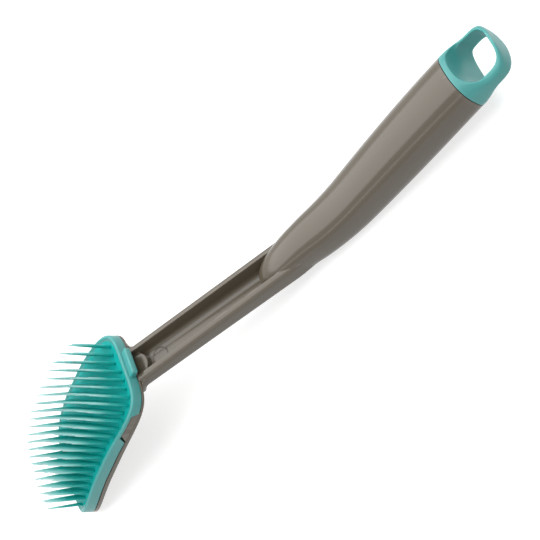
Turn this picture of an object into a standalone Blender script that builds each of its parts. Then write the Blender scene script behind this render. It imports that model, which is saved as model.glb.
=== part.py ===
"""A dish brush on its back: a hollow handle with an open neck, a hanging cap and a clip-on brush head.

Lengths are metres and angles are degrees. The handle is laid out in the neck's frame: x runs along the neck
from the web that closes its channel toward the hanging cap, y runs across, and z rises out of the open channel.
The trough has a frame that is pitched slightly in it, with zero at the rims. The brush head and its seat have a
frame of their own, with its origin on the middle of the bowed rim and z along the way the head pulls off. The
cap's frame starts at the seam. Empties carry these frames, and the first of them lays the whole brush on its
back, bristles up.
"""

import math

import bmesh
import bpy
from mathutils import Matrix, Vector

# Neck: a straight trough, open on the bristle side, closed by a low round-fronted web at the head.
NECK_PITCH = 3.3
NECK_LEVEL_FROM_WEB = 0.0410
NECK_HEAD_WIDTH = 0.0188
NECK_GRIP_WIDTH = 0.0180
NECK_HEAD_DEPTH = 0.0073
NECK_GRIP_DEPTH = 0.0093
NECK_WALL = 0.0031
NECK_FLOOR = 0.0015
NECK_BACK_ROUND = 0.0029
NECK_RIM_ROUND = 0.0022
NECK_RUN_IN = 0.0180
NECK_TUCK = 0.0016
NECK_TUCK_LENGTH = 0.0260
CHANNEL_LENGTH = 0.0580
CHANNEL_ROUND = 0.0038
CHANNEL_DRAFT = 0.0006
WEB_DROP = 0.0023
WEB_LENGTH = 0.0160
JOIN_BITE = 0.0003
FILLET_ROUND = 0.0046
FILLET_RUN = 0.0040
FILLET_TUCK = 0.0004
FILLET_TOP_DROP = 0.0013
FILLET_BOTTOM_DROP = 0.0064
EJECTOR_DIAMETER = 0.0074
EJECTOR_DEPTH = 0.0003
EJECTOR_FROM_WEB = 0.0048

# Grip: an oval hollow body on a spine that bends toward the bristle side, with its nose in the channel.
SPINE_DROP = 0.0045
NOSE_TO_BEND = 0.0260
NOSE_REACH = 0.0340
NOSE_SINK = 0.0042
GRIP_LENGTH = 0.0940
BEND_LENGTH = 0.0300
BEND_ANGLE = 14.3
EASE_ANGLE = 3.5
GRIP_START_WIDTH = 0.0190
GRIP_START_RISE = 0.0086
GRIP_START_DEPTH = 0.0084
GRIP_BELLY = 0.0012
GRIP_END_WIDTH = 0.0256
GRIP_END_RISE = 0.0105
GRIP_END_DEPTH = 0.0098
GRIP_WALL = 0.0024
BORE_LENGTH = 0.0580
REST_FLAT_DEPTH = 0.0003

# Hanging cap: an oval plug that thins to a loop round a hole.
SEAM_GAP = 0.0003
CAP_LENGTH = 0.0210
CAP_LOOP_DEPTH = 0.0092
LOOP_WALL = 0.0015
HOLE_WIDTH = 0.0213
HOLE_FRONT_START = 0.0037
HOLE_BACK_START = 0.0059
SPIGOT_LENGTH = 0.0120
SPIGOT_GAP = 0.0003
SPIGOT_WALL = 0.0018

# Head: a thin rounded plate, bowed toward the bristles and pitched down from the neck.
HEAD_LENGTH = 0.0788
HEAD_REAR_WIDTH = 0.0474
HEAD_FRONT_WIDTH = 0.0498
HEAD_BOW_ANGLE = 25.8
HEAD_PITCH = 29.5
HEAD_MIDDLE_BEHIND_WEB = 0.0444
HEAD_MIDDLE_DROP = 0.0089
HEAD_THICKNESS = 0.0066
HEAD_BELLY = 0.0009
HEAD_REAR_THINNING = 0.0014
FLANGE_THICKNESS = 0.0012
SEAT_GAP = 0.0003
SEAT_WALL = 0.0030
SEAT_POCKET_DEPTH = 0.0016

# Head frame: a skirt that wraps the seat, a floor under the mat and a raised release tab behind.
SKIRT_WALL = 0.0016
FRAME_FLOOR = 0.0009
RIM_WIDTH = 0.0018
RIM_RISE = 0.0007
TAB_WIDTH = 0.0136
TAB_REACH = 0.0035
TAB_HEIGHT = 0.0026
TAB_DROP = 0.0012
TAB_ROUND = 0.0010

# Side lugs: blocks of the handle that stand up through notches in the skirt.
LUG_FROM_REAR = 0.0079
LUG_LENGTH = 0.0140
LUG_FRONT_SLOPE = 0.0039
LUG_REAR_SLOPE = 0.0020
LUG_TOP_DROP = 0.0016
LUG_INSET = 0.0002
NOTCH_GAP = 0.0003
NOTCH_FRONT_GAP = 0.0014

# Bristles: a mat let into the frame, with tapering spikes in rows that run slantwise and fan forward.
MAT_THICKNESS = 0.0010
MAT_GAP = 0.0003
BRISTLE_ROW_PITCH = 0.00354
BRISTLE_PITCH = 0.00270
BRISTLE_LENGTH = 0.0170
BRISTLE_ROOT_WIDTH = 0.0017
BRISTLE_TIP_WIDTH = 0.0005
BRISTLE_EDGE_GAP = 0.0001
BRISTLE_REAR_LEAN = 6.6
BRISTLE_FRONT_LEAN = 0.2
BRISTLE_ROW_TURN = 44.3

# Cuts run past the faces that they open by this much.
OVERRUN = 0.0100
MERGE_DISTANCE = 0.00001

# Shares of the sizes above, and the roundness of the oval sections.
BORE_END_SHARE = 0.78
FILLET_FOOT_SHARE = 0.02
LUG_INNER_SHARE = 0.33
CHANNEL_UNDER_NOSE_SHARE = 0.70
NOSE_TIP_SHARE = 0.05
CAP_FLARE_SHARE = 1.05
CAP_END_SHARE = 0.06
CAP_DROP_SHARE = 0.56
GRIP_POWER = 2.3
GRIP_BACK_POWER = 2.8
LOOP_POWER = 3.7
HOLE_POWER = 3.2
HEAD_POWER = 5.2
CAP_END_POWER = 8.3
CAP_CORNER_POWER = 2.7

# Facets.
SECTION_POINTS = 40
HEAD_POINTS = 56
ROUND_POINTS = 32
CORNER_STEPS = 5
BOW_STEPS = 18
NOSE_STEPS = 10
GRIP_STEPS = 14
BORE_STEPS = 8
CAP_STEPS = 10
SPINE_STEPS = 60
STRAND_SIDES = 4
SHARP_ANGLE = 35.0

# Places that follow from the sizes.
BEND_START = CHANNEL_LENGTH + NOSE_TO_BEND
NECK_END = BEND_START + NECK_RUN_IN
BOW_RADIUS = HEAD_LENGTH / math.radians(HEAD_BOW_ANGLE)
HEAD_CHORD = 2 * BOW_RADIUS * math.sin(math.radians(HEAD_BOW_ANGLE) / 2)
FLOOR_TOP_DROP = RIM_RISE + MAT_THICKNESS + MAT_GAP
FLOOR_BOTTOM_DROP = FLOOR_TOP_DROP + FRAME_FLOOR
SEAT_TOP_DROP = FLOOR_BOTTOM_DROP + SEAT_GAP
FLANGE_TOP_DROP = HEAD_THICKNESS - FLANGE_THICKNESS
FLANGE_MIDDLE_DROP = HEAD_THICKNESS - FLANGE_THICKNESS / 2
SKIRT_BOTTOM_DROP = FLANGE_TOP_DROP - SEAT_GAP
HEAD_IN_NECK = Matrix.Translation((-HEAD_MIDDLE_BEHIND_WEB, 0.0, -HEAD_MIDDLE_DROP)) @ Matrix.Rotation(
    -math.radians(HEAD_PITCH), 4, "Y"
)
LEVEL_POINT = Matrix.Translation((NECK_LEVEL_FROM_WEB, 0.0, 0.0))
NECK_PITCHED = LEVEL_POINT @ Matrix.Rotation(math.radians(NECK_PITCH), 4, "Y") @ LEVEL_POINT.inverted()


def clear_scene():
    """Removes the scene's objects."""
    for item in list(bpy.data.objects):
        bpy.data.objects.remove(item, do_unlink=True)


def new_collection(name):
    """Makes a collection in the scene."""
    collection = bpy.data.collections.new(name)
    bpy.context.scene.collection.children.link(collection)
    return collection


def new_frame(name, matrix, parent=None):
    """Makes an empty that carries the pieces of one frame."""
    frame = bpy.data.objects.new(name, None)
    parts.objects.link(frame)
    frame.parent = parent
    frame.matrix_basis = matrix
    return frame


def plastic(name, colour, roughness):
    """A moulded plastic of one colour."""
    material = bpy.data.materials.new(name)
    material.use_nodes = True
    shader = material.node_tree.nodes["Principled BSDF"]
    shader.inputs["Base Color"].default_value = (*colour, 1.0)
    shader.inputs["Roughness"].default_value = roughness
    shader.inputs["Metallic"].default_value = 0.0
    return material


def mesh_object(name, shape, frame, material=None):
    """Turns a bmesh into an object in a frame: a part if it has a material, and otherwise a cutter."""
    bmesh.ops.recalc_face_normals(shape, faces=shape.faces)
    mesh = bpy.data.meshes.new(name)
    shape.to_mesh(mesh)
    shape.free()
    mesh.shade_smooth()
    mesh.set_sharp_from_angle(angle=math.radians(SHARP_ANGLE))
    item = bpy.data.objects.new(name, mesh)
    item.parent = frame
    if material:
        parts.objects.link(item)
        mesh.materials.append(material)
    else:
        cutters.objects.link(item)
        item.hide_render = True
        item.display_type = "WIRE"
    return item


def loft(name, rings, frame, material=None):
    """Skins a row of rings that have equally many points, and closes both ends."""
    shape = bmesh.new()
    rows = [[shape.verts.new(point) for point in ring] for ring in rings]
    for before, after in zip(rows, rows[1:]):
        for i in range(len(before)):
            shape.faces.new((before[i - 1], before[i], after[i], after[i - 1]))
    shape.faces.new(rows[0])
    shape.faces.new(rows[-1])
    return mesh_object(name, shape, frame, material)


def plate(name, outline, low, high, frame, material=None):
    """Extrudes a flat outline from low to high along z, from a filled two-dimensional curve."""
    curve = bpy.data.curves.new(name, "CURVE")
    curve.dimensions = "2D"
    curve.fill_mode = "BOTH"
    curve.extrude = (high - low) / 2
    spline = curve.splines.new("POLY")
    spline.points.add(len(outline) - 1)
    for point, (x, y) in zip(spline.points, outline):
        point.co = (x, y, 0.0, 1.0)
    spline.use_cyclic_u = True
    guide = bpy.data.objects.new(name + "_outline", curve)
    cutters.objects.link(guide)
    graph = bpy.context.evaluated_depsgraph_get()
    mesh = bpy.data.meshes.new_from_object(guide.evaluated_get(graph))
    bpy.data.objects.remove(guide, do_unlink=True)
    shape = bmesh.new()
    shape.from_mesh(mesh)
    bmesh.ops.remove_doubles(shape, verts=shape.verts, dist=MERGE_DISTANCE)
    bmesh.ops.translate(shape, verts=shape.verts, vec=(0.0, 0.0, (low + high) / 2))
    return mesh_object(name, shape, frame, material)


def side_plate(name, outline, low, high, frame):
    """A plate whose outline is drawn in x and z, and which runs across from y = low to y = high."""
    item = plate(name, outline, -high, -low, frame)
    item.data.transform(Matrix.Rotation(math.radians(90), 4, "X"))
    return item


def disc(name, diameter, low, high, x, frame):
    """An upright cylinder on the middle line."""
    shape = bmesh.new()
    bmesh.ops.create_cone(
        shape,
        cap_ends=True,
        segments=ROUND_POINTS,
        radius1=diameter / 2,
        radius2=diameter / 2,
        depth=high - low,
        matrix=Matrix.Translation((x, 0.0, (low + high) / 2)),
    )
    return mesh_object(name, shape, frame)


def boolean(item, operation, other):
    """Joins, cuts or intersects a piece with another."""
    modifier = item.modifiers.new(other.name, "BOOLEAN")
    modifier.operation = operation
    modifier.object = other
    modifier.solver = "EXACT"


def between(start, end, share):
    """The value a share of the way from start to end."""
    return start + (end - start) * share


def clamped(share):
    return min(max(share, 0.0), 1.0)


def eased(share):
    """A share that starts and stops gently."""
    share = clamped(share)
    return share * share * (3 - 2 * share)


def signed_power(value, power):
    return math.copysign(abs(value) ** power, value)


def oval(half_width, top, bottom, power, back_power=None):
    """Points of a rounded oval, across and up, between two heights. Its back half may be boxier."""
    middle = (top + bottom) / 2
    half_height = (top - bottom) / 2
    points = []
    for i in range(SECTION_POINTS):
        turn = 2 * math.pi * (i + 0.5) / SECTION_POINTS
        here = back_power if back_power and turn > math.pi else power
        across = half_width * signed_power(math.cos(turn), 2 / here)
        rise = middle + half_height * signed_power(math.sin(turn), 2 / here)
        points.append((across, rise))
    return points


def arc(x, y, radius, first, last, steps):
    """Points along an arc, from one angle to another."""
    turns = [math.radians(between(first, last, i / steps)) for i in range(steps + 1)]
    return [(x + radius * math.cos(turn), y + radius * math.sin(turn)) for turn in turns]


# Handle


def spine(distance):
    """Place and heading of the handle's middle line, by distance past the start of the bend."""
    place = Vector((BEND_START, 0.0, -SPINE_DROP))
    if distance <= 0:
        return place + Vector((distance, 0.0, 0.0)), 0.0
    step = distance / SPINE_STEPS
    for i in range(SPINE_STEPS):
        heading = spine_heading(step * (i + 0.5))
        place += Vector((math.cos(heading), 0.0, math.sin(heading))) * step
    return place, spine_heading(distance)


def spine_heading(distance):
    turn_in = BEND_ANGLE * clamped(distance / BEND_LENGTH)
    turn_out = EASE_ANGLE * clamped((distance - BEND_LENGTH) / (GRIP_LENGTH - BEND_LENGTH))
    return math.radians(turn_in - turn_out)


def stand(points, distance):
    """Stands a flat section square to the spine, and returns its points in space."""
    place, heading = spine(distance)
    up = Vector((-math.sin(heading), 0.0, math.cos(heading)))
    return [place + Vector((0.0, across, 0.0)) + up * rise for across, rise in points]


def grip_half_width(distance):
    share = clamped(distance / GRIP_LENGTH)
    return between(GRIP_START_WIDTH, GRIP_END_WIDTH, 1 - (1 - share) ** 2) / 2


def grip_rise(distance):
    """Height of the grip's bristle side over the spine."""
    return between(GRIP_START_RISE, GRIP_END_RISE, eased(distance / GRIP_LENGTH))


def grip_depth(distance):
    """Depth of the grip's back under the spine."""
    share = clamped(distance / GRIP_LENGTH)
    belly = GRIP_BELLY * math.sin(math.pi * share)
    return between(GRIP_START_DEPTH, GRIP_END_DEPTH, 1 - (1 - share) ** 2) + belly


def neck_tuck(x):
    """How far the neck's end draws in, so that it dies inside the grip."""
    return NECK_TUCK * clamped((x - NECK_END) / NECK_TUCK_LENGTH + 1)


def neck_depth(x):
    return between(NECK_HEAD_DEPTH, NECK_GRIP_DEPTH, clamped(x / BEND_START)) - neck_tuck(x)


def neck_half_width(x):
    return between(NECK_HEAD_WIDTH, NECK_GRIP_WIDTH, clamped(x / BEND_START)) / 2 - neck_tuck(x)


def trough_section(x):
    """The neck's section at a place along it: flat sides and back, with rounded edges."""
    rim = neck_half_width(x) - NECK_RIM_ROUND
    back = neck_half_width(x) - NECK_BACK_ROUND
    low = -neck_depth(x) + NECK_BACK_ROUND
    outline = [
        *arc(rim, -NECK_RIM_ROUND, NECK_RIM_ROUND, 0, 90, CORNER_STEPS),
        *arc(-rim, -NECK_RIM_ROUND, NECK_RIM_ROUND, 90, 180, CORNER_STEPS),
        *arc(-back, low, NECK_BACK_ROUND, 180, 270, CORNER_STEPS),
        *arc(back, low, NECK_BACK_ROUND, 270, 360, CORNER_STEPS),
    ]
    return [(x, across, rise) for across, rise in outline]


def neck_side(x, height):
    """Half width of the neck's outside at a height, on its rounded edges too."""
    rim_climb = max(height + NECK_RIM_ROUND, 0.0)
    back_climb = max(NECK_BACK_ROUND - neck_depth(x) - height, 0.0)
    rim = NECK_RIM_ROUND - math.sqrt(NECK_RIM_ROUND**2 - rim_climb**2)
    back = NECK_BACK_ROUND - math.sqrt(NECK_BACK_ROUND**2 - back_climb**2)
    return neck_half_width(x) - max(rim, back)


def neck(material):
    """The neck's trough before it is hollowed, from under the head to inside the grip."""
    places = (-HEAD_MIDDLE_BEHIND_WEB, 0.0, NECK_END - NECK_TUCK_LENGTH, BEND_START, NECK_END)
    rings = [trough_section(x) for x in places]
    return loft("handle", rings, neck_seat, material)


def channel_section(x):
    """Section of the hollow that is cut from the neck, open above."""
    half = neck_half_width(x) - NECK_WALL
    low = -neck_depth(x) + NECK_FLOOR + CHANNEL_ROUND
    foot = half - CHANNEL_DRAFT - CHANNEL_ROUND
    outline = [
        (half + CHANNEL_DRAFT, OVERRUN),
        (-half - CHANNEL_DRAFT, OVERRUN),
        *arc(-foot, low, CHANNEL_ROUND, 180, 270, CORNER_STEPS),
        *arc(foot, low, CHANNEL_ROUND, 270, 360, CORNER_STEPS),
    ]
    return [(x, across, rise) for across, rise in outline]


def channel():
    """What is cut from the neck to open its channel."""
    end = CHANNEL_LENGTH + NOSE_TO_BEND * CHANNEL_UNDER_NOSE_SHARE
    places = (-WEB_LENGTH, 0.0, NECK_END - NECK_TUCK_LENGTH, end)
    hollow = loft("channel", [channel_section(x) for x in places], neck_seat)
    boolean(hollow, "DIFFERENCE", web())
    return hollow


def grip():
    """The grip, a bullet that rises out of the channel's floor and swells toward the seam."""
    distances = [-NOSE_TO_BEND * (1 - (i / NOSE_STEPS) ** 2) for i in range(NOSE_STEPS)]
    distances += [GRIP_LENGTH * i / GRIP_STEPS for i in range(GRIP_STEPS + 1)]
    rings = []
    for distance in distances:
        growth = clamped((distance + NOSE_TO_BEND) / NOSE_REACH)
        size = max(math.sqrt(1 - (1 - growth) ** 2), NOSE_TIP_SHARE)
        bottom = -between(NOSE_SINK, grip_depth(distance), eased(1 + distance / NOSE_TO_BEND))
        top = between(bottom, grip_rise(distance), size)
        section = oval(grip_half_width(distance) * size, top, bottom, GRIP_POWER, GRIP_BACK_POWER)
        rings.append(stand(section, distance))
    return loft("grip", rings, lying)


def rest_flat():
    """What is planed from the grip's back, so that the brush lies on a flat there and on the head's toe."""
    angle = back_angle()
    along = Vector((math.cos(angle), 0.0, math.sin(angle)))
    start = toe_point() + along * (HEAD_LENGTH + CHANNEL_LENGTH)
    end = start + along * (GRIP_LENGTH + BORE_LENGTH)
    outline = [(start.x, start.z), (end.x, end.z), (end.x, end.z - OVERRUN), (start.x, start.z - OVERRUN)]
    return side_plate("rest_flat", outline, -GRIP_END_WIDTH, GRIP_END_WIDTH, lying)


def bore_section(distance, gap):
    """Section of the grip's hollow, drawn in by a gap for what fits inside it."""
    share = (distance - GRIP_LENGTH + BORE_LENGTH) / BORE_LENGTH
    fit = between(BORE_END_SHARE, 1.0, eased(2 * share))
    half = (grip_half_width(distance) - GRIP_WALL) * fit - gap
    top = (grip_rise(distance) - GRIP_WALL) * fit - gap
    bottom = -(grip_depth(distance) - GRIP_WALL) * fit + gap
    return oval(half, top, bottom, GRIP_POWER, GRIP_BACK_POWER)


def bore():
    """The hollow inside the grip, open at the cap."""
    start = GRIP_LENGTH - BORE_LENGTH
    distances = [between(start, GRIP_LENGTH, i / BORE_STEPS) for i in range(BORE_STEPS + 1)]
    distances.append(GRIP_LENGTH + OVERRUN)
    return loft("bore", [stand(bore_section(distance, 0.0), distance) for distance in distances], lying)


def neck_fillets():
    """Fillets in plan where the neck's sides meet the head's flange, tapering away under the plate."""
    edge = (HEAD_IN_NECK @ Vector((HEAD_CHORD / 2, 0.0, bowed(HEAD_CHORD / 2, HEAD_THICKNESS)))).x
    edge -= FILLET_TUCK
    round_corner = arc(edge + FILLET_ROUND, FILLET_ROUND, FILLET_ROUND, 180, 270, CORNER_STEPS)
    half = [(edge - FILLET_ROUND - FILLET_RUN, 0.0), (edge - FILLET_ROUND, FILLET_ROUND), *round_corner]
    rings = []
    for i in range(CORNER_STEPS + 1):
        height = between(-FILLET_BOTTOM_DROP, -FILLET_TOP_DROP, i / CORNER_STEPS)
        fullness = between(FILLET_FOOT_SHARE, 1.0, math.sin(math.pi / 2 * i / CORNER_STEPS))
        side = neck_side(0.0, height) - JOIN_BITE
        upper = [(x, side + reach * fullness, height) for x, reach in half]
        rings.append(upper + [(x, -y, height) for x, y, _ in reversed(upper)])
    return loft("neck_fillets", rings, neck_seat)


def web():
    """The round-fronted wall that closes the channel at the head, to be left out of the channel's cut."""
    radius = NECK_HEAD_WIDTH / 2 - NECK_WALL + CHANNEL_DRAFT + JOIN_BITE
    outline = [*arc(-radius, 0.0, radius, -90, 90, ROUND_POINTS // 2)]
    outline += [(-WEB_LENGTH - OVERRUN, radius), (-WEB_LENGTH - OVERRUN, -radius)]
    return plate("web", outline, -NECK_HEAD_DEPTH - OVERRUN, -WEB_DROP, neck_seat)


def ejector_mark():
    """The shallow round witness that a mould's ejector pin leaves on the channel's floor."""
    floor = -neck_depth(EJECTOR_FROM_WEB) + NECK_FLOOR
    low = floor - EJECTOR_DEPTH
    high = floor + EJECTOR_DEPTH
    return disc("ejector_mark", EJECTOR_DIAMETER, low, high, EJECTOR_FROM_WEB, neck_seat)


def bow(x):
    """Height of the bowed rim surface along the head."""
    return math.sqrt(BOW_RADIUS**2 - x**2) - BOW_RADIUS


def bowed(x, drop):
    """Height of a surface under the bowed rim. Lower ones draw up to the rear, where the head is thinner."""
    thinning = HEAD_REAR_THINNING * eased(2 * x / HEAD_CHORD)
    return bow(x) - drop + thinning * clamped((drop - SEAT_TOP_DROP) / (HEAD_THICKNESS - SEAT_TOP_DROP))


def head_half_width(x, inset):
    return between(HEAD_FRONT_WIDTH, HEAD_REAR_WIDTH, 0.5 + x / HEAD_LENGTH) / 2 - inset


def head_outline(inset):
    """The head's rounded outline in plan, drawn in by an inset. The rear is at +x."""
    points = []
    for i in range(HEAD_POINTS):
        turn = 2 * math.pi * (i + 0.5) / HEAD_POINTS
        x = (HEAD_CHORD / 2 - inset) * signed_power(math.cos(turn), 2 / HEAD_POWER)
        points.append((x, head_half_width(x, inset) * signed_power(math.sin(turn), 2 / HEAD_POWER)))
    return points


def bowed_slab(name, top_drop, bottom_drop, belly):
    """A slab wider than the head, between two depths under the bowed rim, and thicker in its middle."""
    reach = HEAD_LENGTH / 2 + OVERRUN
    xs = [between(-reach, reach, i / BOW_STEPS) for i in range(BOW_STEPS + 1)]
    lower = [(x, bowed(x, bottom_drop) - belly * (1 - (x / reach) ** 2)) for x in xs]
    outline = lower + [(x, bowed(x, top_drop)) for x in reversed(xs)]
    half_width = HEAD_FRONT_WIDTH / 2 + OVERRUN
    return side_plate(name, outline, -half_width, half_width, head_seat)


def bowed_plate(name, inset, top_drop, bottom_drop, material=None, belly=0.0):
    """A piece with the head's outline, between two depths under the bowed rim surface."""
    reach = HEAD_THICKNESS + 2 * OVERRUN
    item = plate(name, head_outline(inset), -reach, reach, head_seat, material)
    boolean(item, "INTERSECT", bowed_slab(name + "_slab", top_drop, bottom_drop, belly))
    return item


def lug_block(name, side, gap, front_gap, foot_drop):
    """A block with sloping ends on one side of the head: a lug, or its notch where there are gaps."""
    rear = HEAD_CHORD / 2 - LUG_FROM_REAR + gap
    front = rear - LUG_LENGTH - gap - front_gap
    top_drop = LUG_TOP_DROP - gap
    rear_foot = rear + LUG_REAR_SLOPE
    front_top = front + LUG_FRONT_SLOPE
    outline = [
        (rear_foot, bowed(rear_foot, foot_drop)),
        (rear, bowed(rear, top_drop)),
        (front_top, bowed(front_top, top_drop)),
        (front, bowed(front, foot_drop)),
    ]
    inner = side * HEAD_REAR_WIDTH * LUG_INNER_SHARE
    outer = side * (HEAD_FRONT_WIDTH / 2 + OVERRUN)
    return side_plate(name, outline, min(inner, outer), max(inner, outer), head_seat)


def head_base():
    """The handle's end under the brush head: a flange, the seat inside the skirt, and two lugs."""
    base = bowed_plate("head_flange", 0.0, FLANGE_TOP_DROP, HEAD_THICKNESS, belly=HEAD_BELLY)
    seat_inset = SKIRT_WALL + SEAT_GAP
    boolean(base, "UNION", bowed_plate("head_seat_block", seat_inset, SEAT_TOP_DROP, FLANGE_MIDDLE_DROP))
    reach = HEAD_THICKNESS + 2 * OVERRUN
    for side, word in ((-1, "near"), (1, "far")):
        block = lug_block("lug_" + word, side, 0.0, 0.0, FLANGE_MIDDLE_DROP)
        limit = plate("lug_limit_" + word, head_outline(LUG_INSET), -reach, reach, head_seat)
        boolean(block, "INTERSECT", limit)
        foot_drop = SEAT_TOP_DROP + JOIN_BITE
        behind = bowed_plate("lug_back_" + word, SKIRT_WALL - NOTCH_GAP, -OVERRUN, foot_drop)
        boolean(block, "DIFFERENCE", behind)
        boolean(base, "UNION", block)
    return base


def handle(material):
    """The whole handle, one moulding from the head's seat to the seam of the cap."""
    item = neck(material)
    boolean(item, "UNION", neck_fillets())
    boolean(item, "DIFFERENCE", channel())
    head_room = bowed_plate("head_room", -SEAT_GAP, -HEAD_MIDDLE_DROP - OVERRUN, FLANGE_MIDDLE_DROP)
    boolean(item, "DIFFERENCE", head_room)
    boolean(item, "DIFFERENCE", tab_block("tab_room", SEAT_GAP, OVERRUN))
    boolean(item, "UNION", grip())
    boolean(item, "UNION", head_base())
    pocket_inset = SKIRT_WALL + SEAT_GAP + SEAT_WALL
    pocket = bowed_plate("seat_pocket", pocket_inset, -OVERRUN, SEAT_TOP_DROP + SEAT_POCKET_DEPTH)
    boolean(item, "DIFFERENCE", pocket)
    boolean(item, "DIFFERENCE", bore())
    boolean(item, "DIFFERENCE", ejector_mark())
    boolean(item, "DIFFERENCE", rest_flat())
    return item


# End cap


def cap_body(material):
    """The cap before its hole: the grip's section thinning to a flat loop with a round end."""
    rings = []
    for i in range(CAP_STEPS + 1):
        share = math.sin(math.pi / 2 * i / CAP_STEPS)
        x = between(SEAM_GAP, CAP_LENGTH, share)
        narrowing = max((1 - share**CAP_END_POWER) ** (1 / CAP_CORNER_POWER), CAP_END_SHARE)
        half = between(1.0, CAP_FLARE_SHARE, share) * narrowing * GRIP_END_WIDTH / 2
        thinning = eased(share / CAP_DROP_SHARE)
        top = between(GRIP_END_RISE, CAP_LOOP_DEPTH / 2, thinning)
        bottom = -between(GRIP_END_DEPTH, CAP_LOOP_DEPTH / 2, thinning)
        power = between(GRIP_POWER, LOOP_POWER, thinning)
        back_power = between(GRIP_BACK_POWER, LOOP_POWER, thinning)
        section = oval(half, top, bottom, power, back_power)
        rings.append([(x, across, rise) for across, rise in section])
    return loft("end_cap", rings, cap_seat, material)


def hanging_hole():
    """The hole through the loop, opening toward the seam on the bristle side."""
    end = CAP_LENGTH - LOOP_WALL
    slant = (HOLE_BACK_START - HOLE_FRONT_START) / CAP_LOOP_DEPTH
    middle = (HOLE_BACK_START + HOLE_FRONT_START) / 2
    rings = []
    for height in (-GRIP_END_DEPTH, GRIP_END_RISE):
        outline = oval(HOLE_WIDTH / 2, end, middle - slant * height, HOLE_POWER)
        rings.append([(x, across, height) for across, x in outline])
    return loft("hanging_hole", rings, cap_seat)


def spigot(name, gap, start, end):
    """The plug that holds the cap in the grip, or its hollow, between two places along the cap."""
    inside = bore_section(GRIP_LENGTH + start, gap)
    mouth = bore_section(GRIP_LENGTH, gap)
    rings = [
        [(start, across, rise) for across, rise in inside],
        [(end, across, rise) for across, rise in mouth],
    ]
    return loft(name, rings, cap_seat)


def end_cap(material):
    """The hanging cap with its plug."""
    item = cap_body(material)
    boolean(item, "UNION", spigot("spigot", SPIGOT_GAP, -SPIGOT_LENGTH, 2 * SEAM_GAP))
    spigot_room = spigot("spigot_room", SPIGOT_GAP + SPIGOT_WALL, -SPIGOT_LENGTH - OVERRUN, SEAM_GAP)
    boolean(item, "DIFFERENCE", spigot_room)
    boolean(item, "DIFFERENCE", hanging_hole())
    return item


# Brush head


def tab_block(name, gap, rise):
    """The tab behind the skirt that a thumb lifts, or the room for it: wider by a gap and higher by a rise."""
    wall = HEAD_CHORD / 2
    corner_x = wall + TAB_REACH - TAB_ROUND
    corner_y = TAB_WIDTH / 2 - TAB_ROUND
    outline = [
        (wall - SKIRT_WALL / 2, -TAB_WIDTH / 2 - gap),
        *arc(corner_x, -corner_y, TAB_ROUND + gap, -90, 0, CORNER_STEPS),
        *arc(corner_x, corner_y, TAB_ROUND + gap, 0, 90, CORNER_STEPS),
        (wall - SKIRT_WALL / 2, TAB_WIDTH / 2 + gap),
    ]
    top = bow(wall) - TAB_DROP
    return plate(name, outline, top - TAB_HEIGHT - gap, top + rise, head_seat)


def head_frame(material):
    """The skirted frame, with a recess for the mat above and room for the seat below."""
    item = bowed_plate("head_frame", 0.0, 0.0, SKIRT_BOTTOM_DROP, material)
    boolean(item, "UNION", tab_block("release_tab", 0.0, 0.0))
    seat_room = bowed_plate("seat_room", SKIRT_WALL, FLOOR_BOTTOM_DROP, HEAD_THICKNESS + OVERRUN)
    boolean(item, "DIFFERENCE", seat_room)
    boolean(item, "DIFFERENCE", bowed_plate("mat_recess", RIM_WIDTH, -OVERRUN, FLOOR_TOP_DROP))
    for side, word in ((-1, "near"), (1, "far")):
        notch = lug_block("notch_" + word, side, NOTCH_GAP, NOTCH_FRONT_GAP, HEAD_THICKNESS)
        behind = bowed_plate("notch_back_" + word, SKIRT_WALL, -OVERRUN, FLOOR_BOTTOM_DROP)
        boolean(notch, "DIFFERENCE", behind)
        boolean(item, "DIFFERENCE", notch)
    return item


def strand_places():
    """Places of the bristles in plan: rows turned slantwise, kept clear of the mat's edge."""
    margin = RIM_WIDTH + MAT_GAP + BRISTLE_ROOT_WIDTH / 2 + BRISTLE_EDGE_GAP
    reach = math.ceil(HEAD_LENGTH / BRISTLE_PITCH)
    turn = math.radians(BRISTLE_ROW_TURN)
    places = []
    for row in range(-reach, reach + 1):
        for step in range(-reach, reach + 1):
            across_rows = row * BRISTLE_ROW_PITCH
            along_row = (step + 0.5) * BRISTLE_PITCH
            x = across_rows * math.cos(turn) - along_row * math.sin(turn)
            y = across_rows * math.sin(turn) + along_row * math.cos(turn)
            length_share = abs(x) / (HEAD_CHORD / 2 - margin)
            width_share = abs(y) / head_half_width(x, margin)
            if length_share**HEAD_POWER + width_share**HEAD_POWER <= 1:
                places.append((x, y))
    return places


def strands():
    """Tapering square spikes, rooted in the mat."""
    shape = bmesh.new()
    sunk = MAT_THICKNESS / 2
    for x, y in strand_places():
        lean = between(BRISTLE_FRONT_LEAN, BRISTLE_REAR_LEAN, 0.5 + x / HEAD_CHORD)
        tilt = math.asin(x / BOW_RADIUS) - math.radians(lean)
        root = Matrix.Translation((x, y, bow(x) - RIM_RISE)) @ Matrix.Rotation(tilt, 4, "Y")
        lift = Matrix.Translation((0.0, 0.0, (BRISTLE_LENGTH - sunk) / 2))
        bmesh.ops.create_cone(
            shape,
            cap_ends=True,
            segments=STRAND_SIDES,
            radius1=BRISTLE_ROOT_WIDTH / math.sqrt(2),
            radius2=BRISTLE_TIP_WIDTH / math.sqrt(2),
            depth=BRISTLE_LENGTH + sunk,
            matrix=root @ lift,
        )
    return mesh_object("strands", shape, head_seat)


def bristle_pad(material):
    """The mat with its bristles, one moulding."""
    item = bowed_plate("bristle_pad", RIM_WIDTH + MAT_GAP, RIM_RISE, RIM_RISE + MAT_THICKNESS, material)
    boolean(item, "UNION", strands())
    return item


# Placing


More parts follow.
